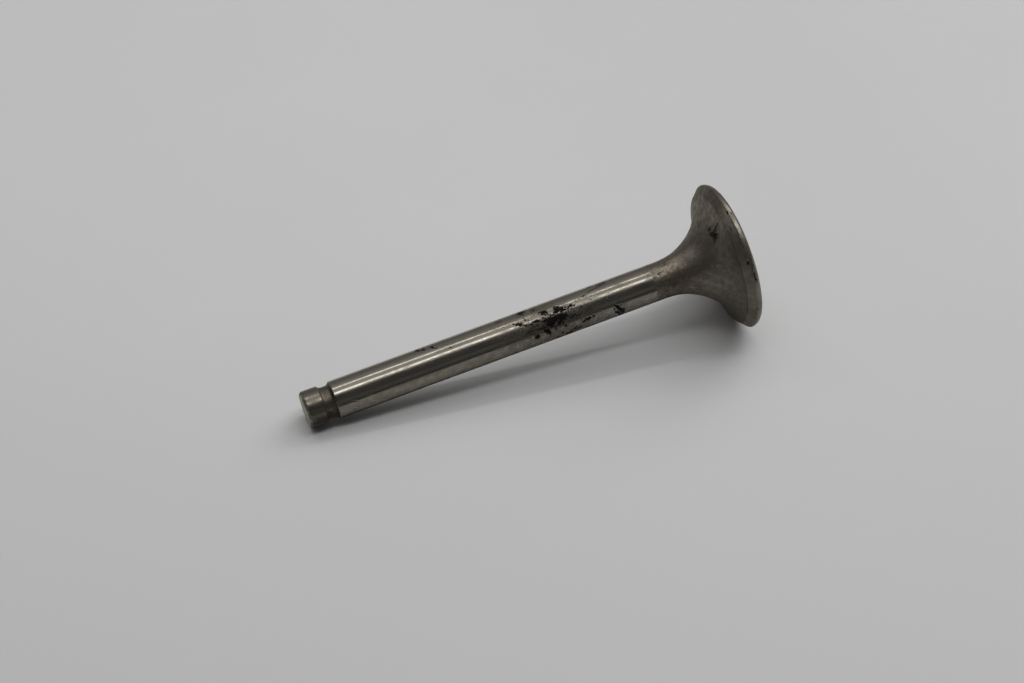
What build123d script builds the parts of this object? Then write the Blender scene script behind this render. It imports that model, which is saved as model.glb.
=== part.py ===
from build123d import *
import os
from math import cos, sin, radians

# ---------------------------------------------------------------------------
# Engine valve (poppet valve), one forged and turned piece, in millimetres.
# Frame: the valve stands on the flat face of its head. Z = 0 is that face,
# the origin is the face's centre, and +Z runs up the stem to the tip.
# ---------------------------------------------------------------------------

# overall
length = 96.2               # head face to tip face

# head
head_d = 31.8               # largest diameter, at the margin
margin_h = 1.50             # head face to the lower edge of the seat
rim_r = 1.40                # rounded edge between the face and the margin
seat_angle = 45.0           # seat face, measured from the head's plane
seat_w = 1.60               # seat face, measured along the radius

# tulip neck: one smooth curve from the seat's inner edge to the stem
back_angle = 14.5           # back of the head where it leaves the seat
back_reach = 7.60           # how far that slope pulls the curve inwards
neck_in = (7.288, 9.024)    # (radius, height) control points of the curve
neck_out = (4.409, 9.638)
neck_end_z = 17.2           # where the curve meets the stem
neck_lead = 3.1             # length over which it runs out along the stem

# stem
stem_d = 8.0                # ground diameter, runs in the guide
neck_d = 7.98               # unground length under the ground part
ground_z = 18.85            # height at which the grinding stops
ground_break = 0.04         # chamfer at that step

# keeper groove and tip
land_d = 7.96               # tip land, beyond the groove
land_h = 3.72               # length of the land, chamfer included
groove_d = 6.80             # floor of the groove
groove_run_r = 1.20         # concave radius on the tip side of the groove
groove_foot_r = 0.60        # concave radius at the foot of the shoulder
groove_floor = 0.85         # flat length of the floor
shoulder_angle = 45.0       # conical shoulder, from the axis
shoulder_break = 0.10       # edge break where the shoulder meets the stem
tip_chamfer = 0.42          # chamfer around the tip face, radially
tip_chamfer_h = 0.50        # the same, along the axis

head_r = head_d / 2
stem_r = stem_d / 2
neck_r = neck_d / 2
land_r = land_d / 2
groove_r = groove_d / 2
seat_in_r = head_r - seat_w
seat_top_z = margin_h + seat_w * sin(radians(seat_angle)) / cos(radians(seat_angle))

# the groove, worked out from the tip downwards
land_z = length - land_h                                   # lower edge of the land
run_dr = land_r - groove_r
run_h = (groove_run_r ** 2 - (groove_run_r - run_dr) ** 2) ** 0.5
floor_top_z = land_z - run_h
floor_low_z = floor_top_z - groove_floor
a = radians(shoulder_angle)
foot_dr = groove_foot_r * (1 - cos(a))
foot_h = groove_foot_r * sin(a)
cone_dr = stem_r - shoulder_break - groove_r - foot_dr
cone_h = cone_dr * cos(a) / sin(a)
shoulder_z = floor_low_z - foot_h - cone_h                  # end of the cone
stem_top_z = shoulder_z - shoulder_break                    # top of the ground stem

# points are (radius, height) in the XZ plane
b = radians(back_angle)
seat_out = (head_r, margin_h)
seat_in = (seat_in_r, seat_top_z)
back_ctrl = (seat_in_r - back_reach * cos(b), seat_top_z + back_reach * sin(b))
neck_top = (neck_r, neck_end_z)

with BuildPart() as valve:
    with BuildSketch(Plane.XZ):
        with BuildLine():
            Line((0, 0), (head_r - rim_r, 0))
            CenterArc((head_r - rim_r, rim_r), rim_r, -90, 90)
            Line((head_r, rim_r), seat_out)
            Line(seat_out, seat_in)
            Bezier(seat_in, back_ctrl, neck_in, neck_out,
                   (neck_r, neck_end_z - neck_lead), neck_top)
            Line(neck_top, (neck_r, ground_z - ground_break))
            Line((neck_r, ground_z - ground_break), (stem_r, ground_z))
            Line((stem_r, ground_z), (stem_r, stem_top_z))
            Line((stem_r, stem_top_z), (stem_r - shoulder_break, shoulder_z))
            Line((stem_r - shoulder_break, shoulder_z),
                 (groove_r + foot_dr, floor_low_z - foot_h))
            CenterArc((groove_r + groove_foot_r, floor_low_z), groove_foot_r,
                      180 + shoulder_angle, -shoulder_angle)
            Line((groove_r, floor_low_z), (groove_r, floor_top_z))
            ThreePointArc(
                (groove_r, floor_top_z),
                (groove_r + groove_run_r * (1 - cos(radians(30))),
                 floor_top_z + groove_run_r * sin(radians(30))),
                (land_r, land_z))
            Line((land_r, land_z), (land_r, length - tip_chamfer_h))
            Line((land_r, length - tip_chamfer_h), (land_r - tip_chamfer, length))
            Line((land_r - tip_chamfer, length), (0, length))
            Line((0, length), (0, 0))
        make_face()
    revolve(axis=Axis.Z, revolution_arc=360)

valve.part.label = "valve"

os.makedirs("parts", exist_ok=True)
export_step(valve.part, "parts/valve.step")

print("seat inner radius %.3f, top of seat %.3f" % (seat_in_r, seat_top_z))
print("ground stem from %.3f to %.3f, length %.3f"
      % (ground_z, stem_top_z, stem_top_z - ground_z))
print("groove floor %.3f to %.3f, land from %.3f" % (floor_low_z, floor_top_z, land_z))
print("volume %.1f mm3" % valve.part.volume)
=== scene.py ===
import math

import bpy
import numpy as np
from mathutils import Matrix, Vector


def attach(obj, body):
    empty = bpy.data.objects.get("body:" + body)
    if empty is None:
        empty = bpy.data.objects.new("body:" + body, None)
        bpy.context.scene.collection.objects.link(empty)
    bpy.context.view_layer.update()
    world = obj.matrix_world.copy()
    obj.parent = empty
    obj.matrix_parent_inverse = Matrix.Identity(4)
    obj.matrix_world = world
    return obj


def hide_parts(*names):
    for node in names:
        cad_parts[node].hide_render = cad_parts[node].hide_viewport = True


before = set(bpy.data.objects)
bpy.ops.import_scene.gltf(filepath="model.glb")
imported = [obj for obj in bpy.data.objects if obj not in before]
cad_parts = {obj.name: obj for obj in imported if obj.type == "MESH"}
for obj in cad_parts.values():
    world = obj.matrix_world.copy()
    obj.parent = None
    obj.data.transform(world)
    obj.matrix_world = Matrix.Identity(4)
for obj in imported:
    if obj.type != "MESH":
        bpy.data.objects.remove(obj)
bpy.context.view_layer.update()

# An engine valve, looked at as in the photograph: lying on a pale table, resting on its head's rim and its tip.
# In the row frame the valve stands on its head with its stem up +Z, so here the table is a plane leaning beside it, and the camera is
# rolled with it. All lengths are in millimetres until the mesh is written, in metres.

MM = 0.001


# ------------------------------------------------------------------ camera
# The photograph's camera, fitted to the valve's outline: focal length in pixels of the 1024 x 683 frame, the stem's direction and the
# place of the head face's centre in camera coordinates (x right, y down, z forward).
FOCAL, IMAGE_WIDTH = 2500.0, 1024.0
AXIS = np.array([-0.92446031, 0.33999021, -0.17256822])
FACE_CENTRE = np.array([46.50272499, -18.50713887, 528.35024273])
DEPRESSION = math.radians(43.876)          # of the camera's line of sight below the table's horizon
TABLE_UP = np.array([0.0, -math.cos(DEPRESSION), -math.sin(DEPRESSION)])
TABLE_DISTANCE = 15.977                    # from the head face's centre down to the table, where the rim touches it

side = TABLE_UP - (TABLE_UP @ AXIS) * AXIS
side /= np.linalg.norm(side)               # away from the table, square to the stem
across = np.cross(AXIS, side)
half = math.sqrt(0.5)
TO_ROW = np.stack([half * side + half * across, -half * side + half * across, AXIS])   # rows: the row frame's axes in the camera's

cam_place = -(TO_ROW @ FACE_CENTRE)
cam_right, cam_up, cam_back = TO_ROW @ np.array([1.0, 0, 0]), TO_ROW @ np.array([0, -1.0, 0]), TO_ROW @ np.array([0, 0, -1.0])
camera = bpy.data.objects.new("camera", bpy.data.cameras.new("camera"))
bpy.context.scene.collection.objects.link(camera)
camera.data.sensor_width = 36.0
camera.data.lens = FOCAL * 36.0 / IMAGE_WIDTH
camera.data.clip_start, camera.data.clip_end = 0.01, 50.0
camera.matrix_world = Matrix([[cam_right[i], cam_up[i], cam_back[i], cam_place[i] * MM] for i in range(3)] + [[0, 0, 0, 1]])
bpy.context.scene.camera = camera


# ------------------------------------------------------------------ noise that is the same on every run
def lattice(ix, iy, iz, seed):
    h = (ix * 374761393 + iy * 668265263 + iz * 2147483647 + seed * 1274126177) & 0xFFFFFFFF
    h = ((h ^ (h >> 13)) * 1103515245) & 0xFFFFFFFF
    h = ((h ^ (h >> 16)) * 2246822519) & 0xFFFFFFFF
    return ((h ^ (h >> 15)) & 0xFFFFFF) / float(0xFFFFFF)


def value_noise(p, scale, seed):
    """Smooth noise from 0 to 1 at the points p, in lattice cells of 1 / scale."""
    q = p * scale + 1000.0
    i = np.floor(q).astype(np.int64)
    f = q - i
    f = f * f * f * (f * (f * 6 - 15) + 10)
    out = np.zeros(len(p))
    for dx in (0, 1):
        for dy in (0, 1):
            for dz in (0, 1):
                w = (f[:, 0] if dx else 1 - f[:, 0]) * (f[:, 1] if dy else 1 - f[:, 1]) * (f[:, 2] if dz else 1 - f[:, 2])
                out += w * lattice(i[:, 0] + dx, i[:, 1] + dy, i[:, 2] + dz, seed)
    return out


def fractal(p, scale, seed, octaves=3):
    total, weight, amplitude = 0.0, 0.0, 1.0
    for k in range(octaves):
        total = total + amplitude * value_noise(p, scale * 2.03 ** k, seed + 17 * k)
        weight += amplitude
        amplitude *= 0.55
    return total / weight


def step(low, high, x):
    t = np.clip((x - low) / (high - low), 0, 1)
    return t * t * (3 - 2 * t)


# ------------------------------------------------------------------ the valve's profile, as part.py has it
ZONES = ["face", "margin", "seat", "back", "stem", "shoulder", "groove", "land", "tip"]
rows = []          # (radius, height, zone of the strip that starts here, sharp edge here)


def add(points, zone, sharp_first=False):
    for k, (r, z) in enumerate(points):
        rows.append((r, z, zone, sharp_first and k == 0))


def line(a, b, n):
    return [(a[0] + (b[0] - a[0]) * k / n, a[1] + (b[1] - a[1]) * k / n) for k in range(n)]


def arc(centre, radius, start, stop, n):
    return [(centre[0] + radius * math.cos(math.radians(start + (stop - start) * k / n)),
             centre[1] + radius * math.sin(math.radians(start + (stop - start) * k / n))) for k in range(n)]


RIM = 15.885       # the CAD rim's facets reach this far in every direction
add([(r, 0.0) for r in (0.5, 1.2, 2.4, 4.0, 6.0, 8.0, 10.0, 11.6, 12.9, 13.9)], "face")
add(arc((14.5, 1.4), RIM - 14.5, -90, 0, 11), "margin")
add([(RIM, 1.4), (RIM, 1.455)], "margin")
add([(RIM - 0.012, 1.497)], "seat")
add(line((RIM - 0.045, 1.535), (14.325, 3.075), 13), "seat")
add([(14.325, 3.075)], "back")
bezier = np.array([(14.3, 3.10), (14.3 - 7.6 * math.cos(math.radians(14.5)), 3.1 + 7.6 * math.sin(math.radians(14.5))),
                   (7.288, 9.024), (4.409, 9.638), (3.99, 14.1), (3.99, 17.2)])
t = np.linspace(0, 1, 2001)[:, None]
curve = sum(math.comb(5, k) * (1 - t) ** (5 - k) * t ** k * bezier[k] for k in range(6))
length = np.r_[0, np.cumsum(np.hypot(*np.diff(curve, axis=0).T))]
stations, s = [], 0.02
while s < length[-1] - 0.1:
    stations.append(s)
    z_here = np.interp(s, length, curve[:, 1])
    s += 0.2 if z_here < 5.7 else 0.3
add([(np.interp(s, length, curve[:, 0]), np.interp(s, length, curve[:, 1])) for s in stations], "back")
add(line((3.99, 17.2), (3.99, 18.55), 4), "back")
add([(3.985, 18.55), (3.962, 18.68), (3.955, 18.76), (3.965, 18.82)], "back")
add([(3.992, 18.87), (4.0, 18.93)], "stem")
z = 19.1
while z < 89.65:
    rows.append((4.0, z, "stem", False))
    z += 0.36 if z < 25.4 else 0.18 if z < 51 else 0.27 if z < 56 else 0.6 if z < 62.5 else 0.3 if z < 71.3 else 0.7 if z < 84.6 else 0.22 if z < 88 else 0.42
add([(4.0, 89.70), (3.985, 89.769)], "stem")
add([(3.9, 89.854)], "shoulder", True)
add(line((3.82, 89.934), (3.576, 90.179), 3), "shoulder")
corner = math.degrees(math.atan2(90.179 - 90.603, 3.576 - 4.0))
add(arc((4.0, 90.603), 0.6, corner % 360, 180, 6), "groove")
add(line((3.4, 90.603), (3.4, 91.453), 5), "groove")
run_in = math.degrees(math.atan2(92.48 - 91.453, 3.98 - 4.6)) % 360
add(arc((4.6, 91.453), 1.2, 180, run_in, 9), "groove")
add([(3.98, 92.48)], "land", True)
add(line((3.98, 92.62), (3.98, 95.62), 17), "land")
add([(3.974, 95.67)], "land")
add([(3.95, 95.722)], "tip", False)
add(line((3.90, 95.79), (3.60, 96.15), 3), "tip")
add([(3.575, 96.175), (3.54, 96.197)], "tip")
add([(r, 96.2) for r in (3.45, 3.1, 2.5, 1.8, 1.0, 0.4)], "tip")

R = np.array([r[0] for r in rows])
Z = np.array([r[1] for r in rows])
ZONE = [r[2] for r in rows]
SHARP = [r[3] for r in rows]
S = np.r_[0, np.cumsum(np.hypot(np.diff(R), np.diff(Z)))]      # length along the profile from the face's first ring

# Columns: close together on the side that the photograph shows, whose wear is known, wider apart behind.
near, far = 146, 74
angles = np.r_[np.linspace(-190, 10, near, endpoint=False), np.linspace(10, 170, far, endpoint=False)]
A = np.radians(angles)
NR, NC = len(rows), len(angles)

AA, RR = np.meshgrid(A, R)
_, ZZ = np.meshgrid(A, Z)
_, SS = np.meshgrid(A, S)
base = np.stack([RR * np.cos(AA), RR * np.sin(AA), ZZ], -1).reshape(-1, 3)
zone_of = np.repeat(np.array([ZONES.index(z) for z in ZONE]), NC)
tangent = np.stack([np.gradient(R, S), np.gradient(Z, S)], 1)
tangent /= np.linalg.norm(tangent, axis=1)[:, None]
normal_r, normal_z = np.repeat(tangent[:, 1], NC), np.repeat(-tangent[:, 0], NC)
outward = np.stack([normal_r * np.cos(AA.ravel()), normal_r * np.sin(AA.ravel()), normal_z], -1)

flat_a, flat_s, flat_r, flat_z = np.degrees(AA.ravel()), SS.ravel(), RR.ravel(), ZZ.ravel()
coarse, fine, finest = fractal(base, 0.9, 11), fractal(base, 2.6, 23), fractal(base, 5.5, 37, 2)
streaky = fractal(base * np.array([1, 1, 0.22]), 5.0, 53)       # drawn out along the stem


def place(az, z, after=3):
    """Distances in mm from the point at that azimuth and height: round the valve and along its profile."""
    order = np.argsort(Z[10:], kind="stable") + 10          # past the flat face's rings
    s0 = np.interp(z, Z[order], S[order])
    turn = (flat_a - az + 180) % 360 - 180
    return np.radians(turn) * np.maximum(flat_r, 0.5), flat_s - s0


def blot(az, z, wide, long, turn=0.0, edge=0.35, ragged=0.55):
    """A ragged spot, 1 inside and 0 outside. wide is its half size round the valve and long along it, in mm."""
    u, v = place(az, z)
    close = (np.abs(u) < 3 * max(wide, long)) & (np.abs(v) < 3 * max(wide, long))
    out = np.zeros(len(u))
    if close.any():
        c, s = math.cos(math.radians(turn)), math.sin(math.radians(turn))
        uu, vv = u[close] * c + v[close] * s, -u[close] * s + v[close] * c
        q = np.hypot(uu / wide, vv / long)
        q = q + ragged * (fine[close] - 0.5) * 2 + ragged * 0.8 * (finest[close] - 0.5) * 2
        out[close] = 1 - step(1 - edge, 1 + edge, q)
    return out


depth = np.zeros(len(base))       # how far the surface is sunk, mm
dark = np.zeros(len(base))        # black scale in pits and spots
brown_film_and_painted_shade = np.zeros(len(base))       # thin brown film, and painted shade
tan_film_and_painted_highlight = np.zeros(len(base))         # pale tan film and painted highlights

# Pits and black spots: azimuth, height, half width, half length, depth, darkness, turn.
SPOTS = [
    # scattered pits on the stem's side nearest the head
    (-117, 28.15, .34, .26, .07, .95, 20), (-129, 27.55, .28, .34, .06, .8, 0), (-139, 28.35, .40, .24, .06, .85, 40),
    (-150, 26.9, .5, .42, .06, .8, 10), (-160, 27.7, .5, .3, .05, .7, 0), (-133, 26.6, .18, .16, .03, .6, 0), (-122, 27.75, .30, .22, .06, .95, 0), (-124, 28.6, .20, .20, .05, .9, 0), (-135, 27.2, .24, .26, .05, .85, -20), (-145, 27.9, .30, .22, .05, .85, 0), (-118, 27.1, .16, .14, .03, .7, 0),
    (-122, 33.4, .24, .20, .05, .8, 0), (-124, 34.4, .28, .42, .07, .95, 15), (-128.5, 35.6, .20, .38, .05, .85, -15), (-120, 35.1, .14, .2, .03, .6, 0),
    (-147, 36.6, .26, .42, .04, .7, 30), (-140, 37.6, .22, .46, .03, .6, 35), (-157, 38.9, .42, .62, .05, .8, 0), (-161, 37.8, .3, .4, .03, .6, 0),
    (-143, 40.45, .28, .24, .05, .8, 0), (-153, 41.6, .24, .3, .03, .6, 0), (-137, 43.2, .16, .16, .03, .5, 0), (-147, 44.5, .14, .14, .02, .4, 0),
    (-119, 39.5, .22, .24, .05, .75, 0), (-118, 41.8, .26, .22, .03, .5, 0), (-121, 43.3, .42, .30, .09, 1, 20), (-113.5, 43.9, .30, .36, .09, 1, 0),
    (-123, 45.7, .28, .36, .06, .85, 30), (-117, 46.3, .16, .34, .04, .7, 0), (-111.5, 45.6, .14, .4, .03, .6, 0), (-130, 49.9, .12, .14, .03, .6, 0), (-136, 51, .16, .5, .02, .3, 0),
    # in and beside the bright bands
    (-69, 36.55, .17, .24, .05, .8, 30), (-66.5, 37.3, .20, .20, .06, .9, 0), (-70.5, 38.0, .16, .24, .05, .85, 0), (-64, 38.45, .18, .17, .05, .8, 0),
    (-71.5, 38.75, .20, .22, .06, .9, 0), (-62.5, 39.1, .27, .30, .09, 1, 25), (-58, 39.85, .28, .28, .09, 1, 0), (-66.5, 40.25, .30, .26, .09, 1, 0),
    (-54, 40.5, .30, .17, .06, .85, 0), (-71, 40.9, .22, .2, .06, .9, 0), (-60.5, 40.6, .18, .2, .06, .9, 0), (-69.5, 39.5, .16, .2, .05, .85, 0),
    (-60, 42.5, .16, .22, .05, .8, 0), (-55.5, 43.15, .26, .36, .08, .95, 10), (-51.5, 43.9, .18, .28, .05, .85, 0), (-61, 43.6, .14, .18, .04, .7, 0), (-52.5, 42.7, .14, .2, .04, .7, 0), (-57.5, 44.2, .12, .16, .03, .6, 0),
    (-75.5, 45.15, .16, .50, .06, .9, -12), (-79, 46.5, .16, .34, .05, .85, -10), (-77.5, 47.5, .18, .26, .05, .85, 0), (-74, 45.9, .10, .26, .03, .7, 0),
    (-83, 35.4, .13, .36, .03, .6, 8), (-80.5, 36.4, .12, .34, .03, .6, 8), (-83, 34.6, .11, .2, .03, .5, 0), (-77, 37.4, .12, .3, .03, .6, 0),
    (-64, 46.6, .15, .17, .04, .7, 0), (-60, 47.35, .14, .16, .04, .7, 0), (-69, 48.55, .24, .26, .07, .95, 20), (-63.5, 49.1, .18, .24, .06, .9, 0),
    (-60.5, 49.85, .14, .17, .04, .8, 0), (-75.5, 47.9, .12, .3, .04, .7, 0), (-66.5, 49.4, .14, .2, .05, .85, 0), (-72, 46.8, .12, .14, .03, .6, 0),
    (-67.5, 33.0, .12, .16, .02, .55, 0), (-51, 33.9, .11, .24, .03, .75, 25), (-57, 35.2, .12, .13, .02, .4, 0), (-71, 32.7, .1, .12, .02, .5, 0),
    (-60.2, 63.95, .17, .16, .05, .9, 0), (-75, 68.3, .07, .26, .02, .5, 0), (-44, 66.6, .16, .26, .03, .6, 30), (-34, 67.3, .3, .24, .02, .8, 30),
    (-29, 69.2, .30, .22, .04, 1, 10), (-20.5, 70.3, .36, .24, .03, 1, 20), (-71, 57.2, .05, .1, .01, .4, 0), (-49, 74.8, .06, .08, .01, .5, 0), (-40, 79.5, .08, .1, .01, .4, 0),
    (-62, 86.2, .08, .14, .02, .45, 0), (-59, 87.6, .07, .1, .02, .4, 0), (-67, 84.6, .06, .09, .01, .4, 0),
    # top edge of the stem
    (-25, 28.8, .5, .7, .02, .55, 0), (-18, 31.8, .4, .4, .02, .4, 0), (-32.5, 44.7, .34, .3, .03, .65, 0), (-25.5, 47.4, .6, .62, .03, .65, 0),
    (-42, 45.3, .22, .2, .02, .4, 0), (-28, 52.4, .36, .6, .02, .5, 0), (-28, 55, .2, .22, .01, .35, 0), (-41, 47.1, .3, .26, .02, .35, 0),
    # small irregular pits near the keeper groove
    (-112.5, 86.1, .20, .12, .04, .75, 25), (-106, 86.55, .12, .09, .03, .6, 0), (-134, 85.85, .15, .11, .03, .6, -30), (-141.5, 86.7, .12, .14, .03, .6, 0),
    # head: the pit cluster on the back, pits in the seat and the margin
    (-55, 3.62, .16, .30, .05, .8, 0), (-55.2, 3.95, .20, .40, .08, .95, 0), (-57, 4.28, .24, .36, .10, 1, 20), (-60.5, 4.52, .42, .36, .12, 1, 35), (-63.2, 4.75, .34, .32, .10, .95, 0),
    (-58.5, 5.02, .40, .32, .12, 1, 0), (-62.8, 5.12, .34, .22, .08, .85, 0), (-48, 4.92, .20, .34, .06, .85, -15), (-56.5, 4.72, .24, .28, .08, .9, 0), (-66, 5.0, .3, .2, .04, .6, 0), (-54, 5.3, .16, .16, .03, .5, 0),
    (-56.6, 1.60, .24, .21, .09, 1, 0), (-99, 1.75, .26, .24, .09, 1, 0), (-141, 1.42, .22, .2, .06, .8, 0), (-69, 2.4, .26, .22, .03, .55, 0), (-58, 0.95, .34, .16, .05, .75, 0),
    (-110, 1.1, 1.3, .22, .04, .7, 0), (-114, 0.8, .5, .2, .04, .6, 0), (-120, 2.0, .12, .12, .02, .35, 0), (-164, 2.2, .3, .2, .03, .5, 0), (-86, 1.3, .16, .12, .03, .5, 0),
    (-28, 7.75, .26, .22, .03, .4, 0), (-25, 8.0, .22, .2, .03, .4, 0), (-22, 7.5, .2, .16, .02, .35, 0), (-131, 5.5, .34, .1, .02, .4, 0),
    (-68, 17.2, .30, .38, .02, .45, 0), (-77, 18.45, .14, .16, .02, .5, 0), (-86, 13.4, .4, .3, .01, .25, 0), (-92, 12.2, .5, .3, .01, .25, 0),
    # the far side, which the photograph doesn't show, has a few small ones
    (70, 31, .2, .3, .04, .7, 0), (58, 33.5, .14, .2, .03, .5, 0), (95, 47, .2, .24, .04, .6, 20), (118, 40, .3, .2, .03, .6, 0), (132, 60, .14, .14, .03, .5, 0), (84, 2.2, .3, .25, .05, .7, 0), (140, 4.6, .5, .3, .06, .7, 0), (48, 5.2, .3, .4, .05, .6, 0),
]
for az, z, wide, long, deep, black, turn in SPOTS:
    grown = 1.7 if 66 < z < 71 and az > -50 else 1.28 if z > 25 else 1.1
    soft = z < 6 and z > 3.5                                    # the blot on the back of the head has blurred edges
    m = blot(az, z, wide * grown, long * grown, turn, edge=0.85 if soft else 0.5, ragged=0.6)
    black *= 0.74 if soft else 1.0
    depth = np.maximum(depth, deep * m)
    dark = np.maximum(dark, black * np.clip(m * 1.15, 0, 1))

# The big black stain on the stem, of several overlapping patches that are darkest where they overlap.
STAINS = [
    (-92, 39.7, .95, 1.35, .85), (-87.5, 41.6, .95, 1.6, 1.0), (-82.5, 43.0, .42, 1.3, 1.0), (-97.5, 42.6, .75, 1.3, .9), (-102, 40.4, .6, 1.5, .75), (-85, 40.2, .6, .9, .9),
    (-101.5, 44.6, .45, 1.1, .7), (-97, 37.6, .5, 1.3, .6), (-101, 35.8, .28, 1.7, .55), (-79.5, 42.2, .3, 1.2, .9), (-90, 45.4, .6, 1.1, .5), (-97, 47.2, .45, 1.5, .5),
    (-67, 39.3, .62, .66, .95), (-57, 40.2, .42, .42, .95), (-70.5, 40.7, .34, .5, .9), (-55, 43.2, .48, .52, .85), (-67, 37.3, .28, .7, .65), (-76.5, 45.2, .22, .8, .8), (-79.5, 47.0, .3, .9, .6), (-67.5, 48.6, .3, .5, .75), (-62, 49.6, .2, .4, .6),
    (-150, 37.2, .5, 1.1, .6), (-157, 39.3, .6, 1.0, .75), (-146, 38.2, .3, .8, .5), (-126, 34.9, .32, .8, .6), (-119, 43.5, .45, .55, .8), (-119, 46.2, .45, .55, .7), (-113, 40.0, .3, .9, .6), (-150, 30.5, .35, .7, .35), (-141, 27.2, .6, .5, .6), (-156, 27.4, .7, .7, .7), (-122, 28.0, .5, .3, .7),
    (-27, 29.0, .55, .9, .5), (-38, 31.4, .25, 1.1, .35), (-33, 44.8, .4, .45, .7), (-25, 47.4, .8, .9, .75), (-28, 52.6, .45, .8, .55), (-20, 31.8, .5, .5, .4), (-28, 55.0, .3, .3, .35),
    (-60.5, 4.75, 1.0, .75, .6), (-56.5, 5.0, .6, .5, .6), (-55.3, 3.95, .30, .85, .6), (-48.5, 4.95, .4, .6, .5), (-64.5, 4.95, .6, .5, .5),
    (-107, 42.0, .4, 1.8, .6), (-110.5, 37.5, .2, 1.8, .4), (-109, 46, .3, 1.4, .5), (-88, 36.4, .4, 1.3, .35), (-86, 48.2, .4, 1.4, .35), (-91, 51.5, .5, 1.8, .22), (-84, 53.8, .35, 1.2, .2), (-94, 34.6, .5, 1.4, .3),
]
for az, z, wide, long, black in STAINS:
    m = blot(az, z, wide, long, 0, edge=0.75, ragged=0.9)
    dark = np.maximum(dark, np.minimum(black * m * (0.80 + 0.55 * streaky), 1.0))
    brown_film_and_painted_shade = np.maximum(brown_film_and_painted_shade, step(0, 0.5, m) * 0.7)
    depth = np.maximum(depth, 0.022 * black * m * (0.4 + 1.2 * finest))

# Brown film round the stain and along the stem, and pale film in the bright bands near the head. Some brown patches are
# painted shade: the long strips at azimuth -128 to -140 dim the table's reflection along the stem, those low on the
# neck and the head's back darken the side facing the table, and the one on the margin's upper part dims its highlight.
for az, z, wide, long, amount in [
    (-92, 42, 2.2, 9, .6), (-128, 41, 2.4, 8, .45), (-135, 58, 1.6, 16, .4), (-138, 80, 1.5, 9, .4), (-140, 24, 1.6, 6, .4), (-93, 84, .8, 7, .35), (-86, 66, .7, 9, .42), (-104, 27, .8, 4, .25),
    (-136, 76, .6, 6, .2), (-128, 60, .8, 6, .25), (-60, 42, 1.2, 6, .2), (95, 40, 3, 9, .3), (150, 70, 2, 9, .2), (-88, 13.6, 1.6, 1.6, .9), (-98, 10.8, 1.6, 1.7, .7), (-118, 14.5, 2.6, 4.6, .9), (-150, 14, 2.6, 4.6, .8), (-66, 11.5, 1.2, 1.4, .4), (-40, 15.5, .8, 1.8, .4),
    (-132, 5.0, 9, 3.2, .32), (-132, 10.2, 2.2, 1.6, .85), (-146, 2.2, 3.6, 1.4, .5), (-62, 19.5, 3.2, .75, .6), (-110, 19.3, 3.2, .6, .55), (-60, 6.6, 1.4, 1.2, .35), (-125, 7.0, 2.5, 1.0, .3), (-60, 5.2, 2.2, 1.6, .45), (-27, 1.0, 4.4, 1.0, .85),
]:
    brown_film_and_painted_shade = np.maximum(brown_film_and_painted_shade, amount * blot(az, z, wide, long, 0, edge=0.9, ragged=0.5))
under = (flat_a + 235) % 360 - 235                                # -235 to 125, so its break is on the clean far side
beneath = step(-212, -184, under + 10 * (coarse - 0.5))           # the underside's painted shade fades out again on the far side
# Painted shade on the underside, the side facing the table: brown and near-black darken the lower edge of the neck,
# stem, shoulder, groove, land and tip, and dim the table's reflection along the stem.
brown_film_and_painted_shade = np.maximum(brown_film_and_painted_shade, 0.95 * beneath * (1 - step(-166, -142, under + 14 * (coarse - 0.5))) * step(22, 30, flat_z + 8 * (coarse - 0.5)) * (1 - step(89.5, 89.7, flat_z)))
brown_film_and_painted_shade = np.maximum(brown_film_and_painted_shade, 0.75 * beneath * (1 - step(-150, -112, under + 20 * (coarse - 0.5))) * step(89.8, 90.0, flat_z))
brown_film_and_painted_shade = np.maximum(brown_film_and_painted_shade, 0.32 * step(-158, -146, under) * (1 - step(-117, -111, under)) * (zone_of == ZONES.index("stem")))
soot_and_painted_shade = 1.0 * beneath * (1 - step(-167, -151, under + 10 * (coarse - 0.5))) * step(20, 34, flat_z + 8 * (coarse - 0.5)) * (1 - step(89.5, 89.7, flat_z))
soot_and_painted_shade = np.maximum(soot_and_painted_shade, 0.75 * beneath * (1 - step(-168, -152, under + 10 * (coarse - 0.5))) * step(14, 18, flat_z) * (1 - step(89.5, 89.7, flat_z)))
soot_and_painted_shade = np.maximum(soot_and_painted_shade, 1.0 * beneath * (1 - step(-164, -150, under + 6 * (coarse - 0.5))) * step(11.5, 14.5, flat_z) * (1 - step(27, 36, flat_z)))
soot_and_painted_shade = np.maximum(soot_and_painted_shade, 0.75 * beneath * (1 - step(-132, -98, under + 14 * (coarse - 0.5))) * step(89.7, 89.9, flat_z))
soot_and_painted_shade = np.maximum(soot_and_painted_shade, 0.6 * beneath * (1 - step(-112, -92, under)) * (zone_of == ZONES.index("shoulder")))
soot_and_painted_shade = np.maximum(soot_and_painted_shade, 0.95 * beneath * (1 - step(-172, -135, under + 10 * (coarse - 0.5))) * step(89.7, 89.9, flat_z))
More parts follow.
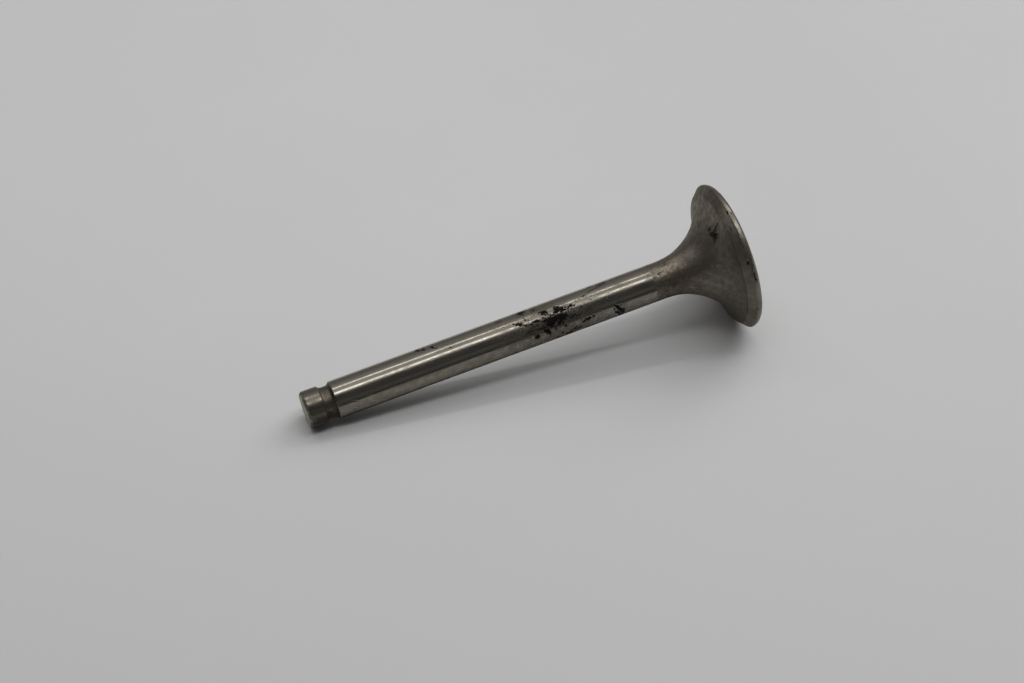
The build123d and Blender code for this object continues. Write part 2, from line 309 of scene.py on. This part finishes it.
for az, z, wide, long, amount in [(-93, 41.5, 1.5, 6.0, .62), (-96, 37, 1.0, 4.0, .5), (-92, 47, 1.1, 4.0, .45), (-148, 39, 1.0, 3.0, .4), (-135, 27.3, 1.5, 1.3, .35), (-60, 4.7, 1.1, 1.4, .5), (-60, 41, 1.0, 2.4, .3), (-27, 47.4, .9, 1.1, .5), (-27, 29, .7, 1.1, .4), (-32, 44.8, .6, .6, .4),
                                   (-142, 41, 3.0, 10, .40), (-118, 41, 1.5, 8.5, .30), (-105, 42, 1.1, 9, .38), (-90, 47, 1.0, 3.2, .42), (-97, 35, 1.0, 3, .5), (-49, 43, .9, 4.2, .45),
                                   (-60, 44.5, 1.0, 4.5, .26), (-65, 33, .8, 1.8, .34), (-79, 39.9, .5, 1.0, .85), (-154, 48, 1.4, 6, .25),
                                   # The last three paint shade on the margin's rounding, hiding the highlight it
                                   # reflects there.
                                   (-75, 1.44, 1.4, .20, .68), (-84, 1.48, 2.4, .16, .42), (-61, 1.2, .7, .40, .16)]:
    soot_and_painted_shade = np.maximum(soot_and_painted_shade, amount * blot(az, z, wide, long, 0, edge=0.85, ragged=0.6))
on_end = (zone_of == ZONES.index("tip")) & (flat_z > 96.1)
soot_and_painted_shade[on_end] *= 0.12
brown_film_and_painted_shade[on_end] *= 0.4
soot_and_painted_shade = np.maximum(soot_and_painted_shade, 0.75 * (zone_of == ZONES.index("tip")) * step(95.70, 95.78, flat_z) * (1 - step(96.13, 96.19, flat_z)))
painted_crease_shade = np.exp(-((flat_z - 3.095) / 0.035) ** 2) * step(-178, -150, under) * (1 - step(-82, -62, under)) * (flat_r > 14)
soot_and_painted_shade = np.maximum(soot_and_painted_shade, 0.6 * painted_crease_shade)                       # painted shade in the crease where the ground seat meets the forged back
wiped = fractal(base * np.array([1, 1, 0.035]), 3.2, 131)       # long streaks of film along the ground stem
brown_film_and_painted_shade = np.maximum(brown_film_and_painted_shade, 0.38 * step(0.50, 0.74, wiped) * (zone_of == ZONES.index("stem")))
neck = step(8.5, 13.5, flat_z + 1.6 * (coarse - 0.5)) * (zone_of == ZONES.index("back"))
# Pale tan film on the stem and in the groove; the patches on the seat and the neck are painted highlights that widen
# the seat's highlight and lengthen the neck's.
for az, z, wide, long, amount in [(-65, 32.6, .55, .9, .9), (-60, 34.6, .5, .9, .5), (-62, 45.5, .9, 1.6, .6), (-66, 42.2, .5, .8, .6), (-62, 48.6, .8, 1.4, .5), (-63, 36.4, .6, 1.0, .4), (-70, 91.3, .5, .4, .7), (-116, 91.3, .3, .3, .4), (-61, 2.3, 2.6, .85, .7), (-61, 1.92, 3.2, .42, 1.0), (-48, 12.6, 1.5, 1.5, .55), (-55, 9.6, 1.3, 1.1, 1.0)]:
    tan_film_and_painted_highlight = np.maximum(tan_film_and_painted_highlight, amount * blot(az, z, wide, long, 0, edge=0.7, ragged=0.9))
for az, wide, amount in [(-52.3, 0.9, .8), (-70.8, 1.25, .85)]:          # painted highlights on the margin
    tan_film_and_painted_highlight = np.maximum(tan_film_and_painted_highlight, amount * blot(az, 0.95, wide, .36, 0, edge=0.7, ragged=0.35))

# A long fine scratch across the upper side, and a few short ones.
STROKES = [((-86 + 3 * (k % 3), 46.6 + 0.52 * k), (-60 + 2 * (k % 2), 46.1 + 0.52 * k), .045, .004, .22) for k in range(8)]
STROKES += [((-121, 86.6 + 0.34 * k), (-150, 86.5 + 0.34 * k), .04, .003, .22) for k in range(5)]
for (a0, z0), (a1, z1), wide, deep, black in STROKES + [((-32, 29.8), (-51, 34.4), .13, .014, .75), ((-46, 66.1), (-30, 67.9), .09, .01, .4), ((-118, 57), (-121, 61), .05, .006, .25), ((-131, 70), (-127, 74), .05, .006, .25)]:
    for k in range(15):
        f = k / 14
        m = blot(a0 + (a1 - a0) * f, z0 + (z1 - z0) * f, wide, .2, 0, ragged=0.35)
        depth = np.maximum(depth, deep * m)
        dark = np.maximum(dark, black * m)

# Small pits scattered over the worn stretch, more of them near the stain.
rng = np.random.RandomState(7)
for _ in range(230):
    az, z = rng.normal(-88, 34), rng.normal(41.5, 6.5)
    size = 0.06 + 0.12 * rng.rand() ** 2
    if not (-178 < az < -8 and 26 < z < 58):
        continue
    m = blot(az, z, size * (0.7 + 0.6 * rng.rand()), size * (0.8 + 0.8 * rng.rand()), 0, ragged=0.3)
    depth = np.maximum(depth, 0.02 * m)
    dark = np.maximum(dark, (0.3 + 0.45 * rng.rand()) * m)
for _ in range(90):
    az, z = rng.uniform(-190, 170), rng.uniform(20, 89)
    size = 0.05 + 0.07 * rng.rand()
    m = blot(az, z, size, size * (1 + rng.rand()), 0, ragged=0.3)
    depth = np.maximum(depth, 0.012 * m)
    dark = np.maximum(dark, (0.15 + 0.3 * rng.rand()) * m)
for _ in range(60):
    az, z = rng.uniform(-190, 170), 3.2 + 12 * rng.rand() ** 1.5
    size = 0.10 + 0.16 * rng.rand()
    m = blot(az, z, size, size * (0.8 + 0.7 * rng.rand()), 0, ragged=0.4)
    depth = np.maximum(depth, 0.02 * m)
    dark = np.maximum(dark, (0.1 + 0.3 * rng.rand()) * m)

# The forged back of the head and the neck are a little uneven, the seat and the margin have a few nicks, the groove is rough-turned.
on = {name: zone_of == k for k, name in enumerate(ZONES)}
depth += on["back"] * (0.030 * step(0.2, 0.8, fractal(base, 0.42, 71)) + 0.006 * fine + step(8.0, 12.0, flat_z) * (0.010 * fine + 0.010 * finest)) * step(3.1, 3.6, flat_z) * (1 - step(17.6, 18.4, flat_z))
depth += on["seat"] * 0.010 * step(0.55, 0.8, fractal(base, 0.8, 83)) + on["margin"] * 0.014 * step(0.5, 0.8, fractal(base, 0.7, 91))
depth += on["groove"] * 0.012 * fine
depth += on["tip"] * (flat_z < 96.19) * 0.02 * step(0.5, 0.8, fine)
for az, wide, deep in [(-73, .5, .05), (-128, .35, .04), (-151, .4, .05), (-40, .3, .04), (30, .5, .05), (95, .4, .04), (150, .6, .05)]:
    m = blot(az, 1.48, wide, .16, 0, ragged=0.3)
    depth = np.maximum(depth, deep * m)
depth[zone_of == 0] = 0.0                   # the face stays flat
placed = base - outward * depth[:, None]
placed[:, 2] = np.clip(placed[:, 2], 0.0, 96.2)

verts = np.vstack([placed, [[0, 0, 0], [0, 0, 96.2]]]) * MM
grid = np.arange(NR * NC).reshape(NR, NC)
nxt = np.roll(grid, -1, axis=1)
quads = np.stack([grid[:-1], nxt[:-1], nxt[1:], grid[1:]], -1).reshape(-1, 4)
faces = quads.tolist()
kinds = np.repeat([ZONES.index(z) for z in ZONE[:-1]], NC).tolist()
bottom, top = NR * NC, NR * NC + 1
faces += [[bottom, int(nxt[0, j]), int(grid[0, j])] for j in range(NC)]
kinds += [ZONES.index("face")] * NC
faces += [[top, int(grid[-1, j]), int(nxt[-1, j])] for j in range(NC)]
kinds += [ZONES.index("tip")] * NC

mesh = bpy.data.meshes.new("valve_body")
mesh.from_pydata(verts.tolist(), [], faces)
mesh.polygons.foreach_set("use_smooth", [True] * len(faces))
mesh.polygons.foreach_set("material_index", kinds)
for name, values in (("dark", dark), ("brown_film_and_painted_shade", brown_film_and_painted_shade), ("tan_film_and_painted_highlight", tan_film_and_painted_highlight), ("neck", neck), ("soot_and_painted_shade", soot_and_painted_shade)):
    made = mesh.attributes.new(name, "FLOAT", "POINT")
    made.data.foreach_set("value", np.r_[np.clip(values, 0, 1), 0, 0].astype(np.float32))
sharp_rows = [i for i in range(NR) if SHARP[i]]
sharp_verts = {int(v) for i in sharp_rows for v in grid[i]}
edge_ends = np.zeros(len(mesh.edges) * 2, int)
mesh.edges.foreach_get("vertices", edge_ends)
row_of = edge_ends.reshape(-1, 2) // NC
sharp = (row_of[:, 0] == row_of[:, 1]) & np.isin(row_of[:, 0], sharp_rows)
marked = mesh.attributes.new("sharp_edge", "BOOLEAN", "EDGE")
marked.data.foreach_set("value", sharp)
mesh.validate()
valve = bpy.data.objects.new("valve_body", mesh)
bpy.context.scene.collection.objects.link(valve)


# ------------------------------------------------------------------ materials
class Nodes:
    """A short way to write a material's nodes."""

    def __init__(self, name):
        self.material = bpy.data.materials.new(name)
        self.material.use_nodes = True
        self.tree = self.material.node_tree
        self.tree.nodes.clear()
        self.out = self.tree.nodes.new("ShaderNodeOutputMaterial")

    def put(self, socket, value):
        if isinstance(value, bpy.types.NodeSocket):
            self.tree.links.new(value, socket)
        else:
            socket.default_value = value

    def place(self, scale=(1, 1, 1)):
        coords = self.tree.nodes.new("ShaderNodeTexCoord")
        mapping = self.tree.nodes.new("ShaderNodeMapping")
        mapping.inputs["Scale"].default_value = [1000.0 * s for s in scale]     # cells per millimetre
        self.tree.links.new(coords.outputs["Object"], mapping.inputs["Vector"])
        return mapping.outputs["Vector"]

    def noise(self, scale=(1, 1, 1), detail=4.0, rough=0.55, distortion=0.0):
        node = self.tree.nodes.new("ShaderNodeTexNoise")
        self.tree.links.new(self.place(scale), node.inputs["Vector"])
        node.inputs["Scale"].default_value = 1.0
        node.inputs["Detail"].default_value = detail
        node.inputs["Roughness"].default_value = rough
        node.inputs["Distortion"].default_value = distortion
        return node.outputs["Fac"]

    def attribute(self, name):
        node = self.tree.nodes.new("ShaderNodeAttribute")
        node.attribute_name = name
        return node.outputs["Fac"]

    def math(self, op, a, b=0.0, clamp=False):
        node = self.tree.nodes.new("ShaderNodeMath")
        node.operation, node.use_clamp = op, clamp
        self.put(node.inputs[0], a)
        self.put(node.inputs[1], b)
        return node.outputs[0]

    def span(self, value, low, high, to_low=0.0, to_high=1.0):
        node = self.tree.nodes.new("ShaderNodeMapRange")
        node.interpolation_type = "SMOOTHSTEP"
        self.put(node.inputs["Value"], value)
        for key, x in (("From Min", low), ("From Max", high), ("To Min", to_low), ("To Max", to_high)):
            node.inputs[key].default_value = x
        return node.outputs["Result"]

    def mix(self, share, a, b):
        node = self.tree.nodes.new("ShaderNodeMix")
        node.data_type = "RGBA"
        self.put(node.inputs[0], share)
        self.put(node.inputs[6], a if isinstance(a, bpy.types.NodeSocket) else (*a, 1.0))
        self.put(node.inputs[7], b if isinstance(b, bpy.types.NodeSocket) else (*b, 1.0))
        return node.outputs[2]

    def bump(self, height, distance, strength=1.0, normal=None):
        node = self.tree.nodes.new("ShaderNodeBump")
        node.inputs["Strength"].default_value = strength
        node.inputs["Distance"].default_value = distance
        self.put(node.inputs["Height"], height)
        if normal is not None:
            self.tree.links.new(normal, node.inputs["Normal"])
        return node.outputs["Normal"]

    def shader(self, colour, roughness, metallic, normal=None):
        node = self.tree.nodes.new("ShaderNodeBsdfPrincipled")
        self.put(node.inputs["Base Color"], colour if isinstance(colour, bpy.types.NodeSocket) else (*colour, 1.0))
        self.put(node.inputs["Roughness"], roughness)
        self.put(node.inputs["Metallic"], metallic)
        if normal is not None:
            self.tree.links.new(normal, node.inputs["Normal"])
        self.tree.links.new(node.outputs[0], self.out.inputs["Surface"])
        return node


BLACK, BROWN, TAN, SOOT_AND_SHADE = (0.007, 0.0055, 0.004), (0.102, 0.082, 0.058), (0.36, 0.31, 0.25), (0.020, 0.017, 0.014)


def metal(name, clean, second, rough, rough_change, haze, lines, lines_deep, grain, grain_deep, cloud=0.5, mottle=0.3, bright_neck=False, pale_film_and_painted_highlight=TAN, pale_rough=0.22):
    """Worn steel: clean and second are its two tones, haze how much brown film lies on it, lines the tool marks and grain the fine roughness,
    both as cells per mm in x, y, z, with their depth in metres."""
    m = Nodes(name)
    broad = m.noise((0.22, 0.22, 0.13), 3.0)
    cloudy = m.noise((0.9, 0.9, 0.55), 5.0, 0.6, 0.4)
    speck = m.noise((4.5, 4.5, 4.0), 4.0, 0.65)
    drawn = m.noise(lines, 3.0, 0.6)
    black = m.attribute("dark")
    film_and_shade = m.attribute("brown_film_and_painted_shade")
    pale = m.attribute("tan_film_and_painted_highlight")
    colour = m.mix(m.span(cloudy, 0.5 - 0.22 / cloud, 0.5 + 0.22 / cloud), clean, second)
    colour = m.mix(m.math("MULTIPLY", m.span(drawn, 0.35, 0.75), mottle), colour, [c * 0.72 for c in clean])
    if bright_neck:                               # the neck next to the ground stem is smoother and paler than the back of the head
        at_neck = m.attribute("neck")
        colour = m.mix(m.math("MULTIPLY", at_neck, m.span(speck, 0.25, 0.6, 0.45, 0.85)), colour, (0.27, 0.241, 0.200))
        flecked = m.math("MULTIPLY", at_neck, m.span(m.noise((2.0, 2.0, 2.0), 4.0, 0.65), 0.45, 0.60, 0.0, 0.7))
        colour = m.mix(flecked, colour, (0.115, 0.090, 0.065))
    hazy = m.math("MULTIPLY", m.span(broad, 0.42, 0.66), haze)
    hazy = m.math("MULTIPLY", hazy, m.span(cloudy, 0.30, 0.62, 0.3, 1.0))
    # Brown film, which on the sides facing the table also paints shade.
    film_and_shade_share = m.math("MULTIPLY", film_and_shade, m.span(cloudy, 0.28, 0.6, 0.25, 1.0))
    brownish = m.math("MAXIMUM", hazy, film_and_shade_share, True)
    colour = m.mix(brownish, colour, BROWN)
    # Near-black soot, which also paints shade on the underside, in the seat's crease and over part of the margin's
    # highlight.
    soot_and_shade_share = m.math("MULTIPLY", m.attribute("soot_and_painted_shade"), m.span(cloudy, 0.3, 0.55, 0.6, 1.0))
    colour = m.mix(soot_and_shade_share, colour, SOOT_AND_SHADE)
    # Pale film, which on the seat, the margin and the neck paints highlights.
    pale_share = m.math("MULTIPLY", pale, m.span(speck, 0.35, 0.6, 0.25, 0.9))
    colour = m.mix(pale_share, colour, pale_film_and_painted_highlight)
    broken = m.math("MULTIPLY", m.span(speck, 0.32, 0.62, -0.40, 0.26), m.math("SUBTRACT", 1.0, black))
    blackish = m.span(m.math("ADD", black, m.math("MULTIPLY", broken, m.span(black, 0.04, 0.3))), 0.12, 0.86)
    colour = m.mix(blackish, colour, BLACK)
    worn = m.math("ADD", m.span(cloudy, 0.3, 0.7, rough - rough_change, rough + rough_change), m.math("MULTIPLY", m.span(speck, 0.3, 0.7), rough_change * 0.6))
    if bright_neck:
        worn = m.math("SUBTRACT", worn, m.math("MULTIPLY", at_neck, 0.08))
    worn = m.math("ADD", worn, m.math("MULTIPLY", brownish, 0.16))
    worn = m.math("ADD", worn, m.math("MULTIPLY", pale_share, pale_rough))
    worn = m.math("ADD", worn, m.math("MULTIPLY", soot_and_shade_share, 0.2))
    worn = m.math("ADD", worn, m.math("MULTIPLY", blackish, 0.34), True)
    covered = m.math("MAXIMUM", m.math("MULTIPLY", brownish, 0.4), m.math("MULTIPLY", soot_and_shade_share, 0.9))
    solid = m.math("SUBTRACT", m.math("SUBTRACT", 1.0, m.math("MULTIPLY", blackish, 0.6)), covered, True)
    normal = m.bump(drawn, lines_deep)
    grainy = m.noise(grain, 3.0, 0.6)
    normal = m.bump(grainy, grain_deep, 1.0, normal)
    normal = m.bump(m.math("MULTIPLY", speck, blackish), 0.00006, 1.0, normal)
    shader = m.shader(colour, worn, solid, normal)
    shader.inputs["Specular IOR Level"].default_value = 0.12
    shader.inputs["Specular Tint"].default_value = (0.72, 0.70, 0.67, 1)       # worn steel at a grazing angle
    return m.material


RING = (0.30, 0.30, 7.0)                      # marks that run round the valve
materials = {
    "face": metal("steel_face", (0.30, 0.275, 0.245), (0.23, 0.21, 0.185), 0.36, 0.06, 0.5, (1.2, 1.2, 1.2), 0.000012, (3, 3, 3), 0.000008),
    # The margin's and the seat's pale film colours paint highlights.
    "margin": metal("steel_margin", (0.29, 0.270, 0.230), (0.20, 0.185, 0.155), 0.30, 0.06, 0.5, (0.5, 0.5, 9.0), 0.000008, (4, 4, 4), 0.000006, pale_film_and_painted_highlight=(0.43, 0.405, 0.345), pale_rough=0.0),
    "seat": metal("steel_seat", (0.25, 0.232, 0.196), (0.18, 0.165, 0.138), 0.48, 0.06, 0.40, (0.35, 0.35, 9.0), 0.000010, (4, 4, 4), 0.000008, pale_film_and_painted_highlight=(0.52, 0.455, 0.375)),
    "back": metal("steel_back", (0.256, 0.233, 0.197), (0.178, 0.160, 0.131), 0.40, 0.05, 0.50, (0.5, 0.5, 5.0), 0.000008, (2.2, 2.2, 2.2), 0.00011, 0.8, 0.18, True),
    "stem": metal("steel_ground", (0.328, 0.305, 0.262), (0.272, 0.251, 0.212), 0.145, 0.03, 0.45, RING, 0.0000022, (6, 6, 6), 0.0000012),
    "shoulder": metal("steel_shoulder", (0.16, 0.143, 0.120), (0.10, 0.089, 0.074), 0.40, 0.05, 0.8, RING, 0.000006, (4, 4, 4), 0.000006),
    "groove": metal("steel_groove", (0.188, 0.165, 0.136), (0.119, 0.103, 0.083), 0.36, 0.06, 0.7, (0.4, 0.4, 6.0), 0.000009, (4, 4, 4), 0.000010),
    "land": metal("steel_land", (0.27, 0.247, 0.205), (0.20, 0.179, 0.147), 0.22, 0.03, 0.5, RING, 0.000005, (4, 4, 4), 0.000006),
    "tip": metal("steel_tip", (0.60, 0.585, 0.465), (0.46, 0.45, 0.355), 0.44, 0.05, 0.5, (1.6, 1.6, 1.6), 0.000010, (4, 4, 4), 0.000008),
}
for zone in ZONES:
    mesh.materials.append(materials[zone])

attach(valve, "root")
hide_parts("valve")


# ------------------------------------------------------------------ table, lamps and surroundings
up_row = TO_ROW @ TABLE_UP                                  # the table's upward direction in the row frame
level = up_row - up_row[2] * np.array([0, 0, 1.0])
level /= np.linalg.norm(level)                              # square to the stem, away from the table
toward = cam_back - (cam_back @ level) * level
toward[2] = 0.0
toward /= np.linalg.norm(toward)                            # square to both, on the camera's side

along = np.cross(up_row, np.cross(np.array([0, 0, 1.0]), up_row))
along /= np.linalg.norm(along)
sideways = np.cross(up_row, along)
middle = -up_row * TABLE_DISTANCE + along * 48.0
reach = 4000.0
ahead = sideways if sideways @ toward > 0 else -sideways
# On the camera's side the table fades out just outside the camera's view, so the stem sees the dark room beyond it, as in the photograph.
slope, fade = 0.3885, 24.0
turn_off = math.atan(slope)


def near_edge(i):
    """How far the table reaches towards the camera, beside the point i mm along the stem."""
    return 150.0 + fade / math.cos(turn_off) - (i + 78.0) * slope


corners = [middle + along * (i - 48.0) + ahead * j for i, j in ((-reach, -reach), (reach, -reach), (reach, near_edge(reach)), (-reach, near_edge(-reach)))]
if np.cross(corners[1] - corners[0], corners[2] - corners[0]) @ up_row < 0:
    corners.reverse()
table_mesh = bpy.data.meshes.new("table")
table_mesh.from_pydata([tuple(c * MM) for c in corners], [], [(0, 1, 2, 3)])
table = bpy.data.objects.new("table", table_mesh)
bpy.context.scene.collection.objects.link(table)
paper = Nodes("table_top")
toward_edge = (ahead * math.cos(math.atan(0.3885)) + along * math.sin(math.atan(0.3885))) * 1000.0
level_dot = paper.tree.nodes.new("ShaderNodeVectorMath")
level_dot.operation = "DOT_PRODUCT"
level_where = paper.tree.nodes.new("ShaderNodeTexCoord")
paper.tree.links.new(level_where.outputs["Object"], level_dot.inputs[0])
level_dot.inputs[1].default_value = tuple(toward_edge)
along_dot = paper.tree.nodes.new("ShaderNodeVectorMath")
along_dot.operation = "DOT_PRODUCT"
paper.tree.links.new(level_where.outputs["Object"], along_dot.inputs[0])
along_dot.inputs[1].default_value = tuple(along * 1000.0)
patchy = paper.noise((0.03, 0.03, 0.03), 4.0)
# Painted light falloff: the table's tone is lighter towards the tip's end of the stem and darker towards the camera's
# side.
painted_falloff_tone = paper.mix(paper.span(along_dot.outputs["Value"], -60.0, 60.0), paper.mix(patchy, (0.790, 0.790, 0.792), (0.820, 0.820, 0.820)), paper.mix(patchy, (0.845, 0.845, 0.847), (0.875, 0.875, 0.875)))
painted_falloff_tone = paper.mix(paper.span(level_dot.outputs["Value"], -60.0, 160.0), painted_falloff_tone, (0.750, 0.750, 0.751))
shade = paper.shader(painted_falloff_tone, 0.6, 0.0, paper.bump(paper.noise((1.2, 1.2, 1.2), 3.0), 0.00002))
behind = paper.tree.nodes.new("ShaderNodeNewGeometry")
clear = paper.tree.nodes.new("ShaderNodeBsdfTransparent")
either = paper.tree.nodes.new("ShaderNodeMixShader")
outward_edge = (ahead * math.cos(turn_off) + along * math.sin(turn_off)) * 1000.0
edge_point = middle + along * (-78.0 - 48.0) + ahead * near_edge(-78.0)
dot = paper.tree.nodes.new("ShaderNodeVectorMath")
dot.operation = "DOT_PRODUCT"
where = paper.tree.nodes.new("ShaderNodeTexCoord")
paper.tree.links.new(where.outputs["Object"], dot.inputs[0])
dot.inputs[1].default_value = tuple(outward_edge)
reached = float(edge_point @ outward_edge) / 1000.0
gone = paper.span(dot.outputs["Value"], reached - fade, reached)
paper.put(either.inputs[0], paper.math("MAXIMUM", behind.outputs["Backfacing"], gone))
paper.tree.links.new(shade.outputs[0], either.inputs[1])
paper.tree.links.new(clear.outputs[0], either.inputs[2])
paper.tree.links.new(either.outputs[0], paper.out.inputs["Surface"])
table_mesh.materials.append(paper.material)


def lamp(name, angle, distance, centre_z, wide, long, radiance, tilt=0.0, colour=(1, 1, 1)):
    """A strip or panel lamp parallel to the stem. angle is from straight above, towards the camera, and tilt towards the tip, in degrees;
    sizes are in metres."""
    a, b = math.radians(angle), math.radians(tilt)
    direction = (level * math.cos(a) + toward * math.sin(a)) * math.cos(b) + np.array([0, 0, math.sin(b)])
    light = bpy.data.lights.new(name, "AREA")
    light.shape, light.size, light.size_y = "RECTANGLE", wide, long
    light.energy = radiance * math.pi * wide * long
    light.color = colour
    made = bpy.data.objects.new(name, light)
    bpy.context.scene.collection.objects.link(made)
    z_axis = Vector(direction)
    x_axis = Vector((0, 0, 1.0)).cross(z_axis).normalized()
    y_axis = z_axis.cross(x_axis)
    place = Vector(direction) * distance + Vector((0, 0, centre_z))
    made.matrix_world = Matrix([[x_axis[i], y_axis[i], z_axis[i], place[i]] for i in range(3)] + [[0, 0, 0, 1]])
    made.visible_camera = False
    return made


lamp("lamp_main", 8.3, 1.10, -0.28, 0.185, 1.20, 3.05)
lamp("lamp_low", 8.3, 1.10, 0.56, 0.185, 0.50, 0.45)
lamp("lamp_thin", -24.5, 1.10, -0.28, 0.07, 1.20, 4.15)
lamp("lamp_panel", -30.0, 0.80, 0.0, 0.50, 0.50, 1.55, tilt=-50.0)
lamp("lamp_far", -36.0, 0.95, 0.0, 0.17, 0.17, 1.5, tilt=22.0)

world = bpy.data.worlds.new("room")
bpy.context.scene.world = world
world.use_nodes = True
tree = world.node_tree
tree.nodes.clear()
coords = tree.nodes.new("ShaderNodeTexCoord")


def along_vector(v):
    node = tree.nodes.new("ShaderNodeVectorMath")
    node.operation = "DOT_PRODUCT"
    tree.links.new(coords.outputs["Generated"], node.inputs[0])
    node.inputs[1].default_value = tuple(v)
    return node.outputs["Value"]


turned = tree.nodes.new("ShaderNodeMath")
turned.operation = "ARCTAN2"
tree.links.new(along_vector(toward), turned.inputs[0])
tree.links.new(along_vector(level), turned.inputs[1])
share = tree.nodes.new("ShaderNodeMapRange")
share.inputs["From Min"].default_value, share.inputs["From Max"].default_value = -math.pi, math.pi
tree.links.new(turned.outputs[0], share.inputs["Value"])
room = tree.nodes.new("ShaderNodeValToRGB")
LEVELS = [(-180, 0.32), (-110, 0.235), (-88, 0.213), (-72, 0.285), (-55, 0.32), (-42, 0.45), (-20, 0.69), (9, 0.645), (18, 0.50), (24, 0.12), (29, 0.06), (43, 0.08), (56, 0.07), (65, 0.14), (73, 0.14), (82, 0.07), (95, 0.045), (125, 0.20), (180, 0.30)]
ramp = room.color_ramp
ramp.interpolation = "LINEAR"
while len(ramp.elements) < len(LEVELS):
    ramp.elements.new(0.5)
for element, (degrees, level_here) in zip(ramp.elements, LEVELS):
    element.position = (degrees + 180) / 360
    element.color = (level_here, level_here, level_here, 1)
tree.links.new(share.outputs["Result"], room.inputs["Fac"])
seen = tree.nodes.new("ShaderNodeBackground")
seen.inputs["Color"].default_value = (0.50, 0.50, 0.50, 1)
lit = tree.nodes.new("ShaderNodeBackground")
tree.links.new(room.outputs["Color"], lit.inputs["Color"])
height = tree.nodes.new("ShaderNodeMapRange")                # brightest a little towards the head, dark past the tip
height.inputs["From Min"].default_value, height.inputs["From Max"].default_value = -1.0, 1.0
tree.links.new(along_vector((0, 0, 1)), height.inputs["Value"])
tilts = tree.nodes.new("ShaderNodeValToRGB")
TILTS = [(-90, 0.75), (-60, 0.80), (-45, 0.76), (-28, 0.93), (-12, 1.0), (2, 0.88), (16, 0.47), (35, 0.34), (46, 0.24), (65, 0.12), (90, 0.07)]
while len(tilts.color_ramp.elements) < len(TILTS):
    tilts.color_ramp.elements.new(0.5)
for element, (degrees, level_here) in zip(tilts.color_ramp.elements, TILTS):
    element.position = (math.sin(math.radians(degrees)) + 1) / 2
    element.color = (level_here, level_here, level_here, 1)
tree.links.new(height.outputs["Result"], tilts.inputs["Fac"])
tree.links.new(tilts.outputs["Color"], lit.inputs["Strength"])
path = tree.nodes.new("ShaderNodeLightPath")
pick = tree.nodes.new("ShaderNodeMixShader")
tree.links.new(path.outputs["Is Camera Ray"], pick.inputs[0])
tree.links.new(lit.outputs[0], pick.inputs[1])
tree.links.new(seen.outputs[0], pick.inputs[2])
end = tree.nodes.new("ShaderNodeOutputWorld")
tree.links.new(pick.outputs[0], end.inputs["Surface"])
bpy.context.scene.view_settings.view_transform = "Standard"

print("triangles", sum(len(p.vertices) - 2 for p in mesh.polygons), "rows", NR, "columns", NC)
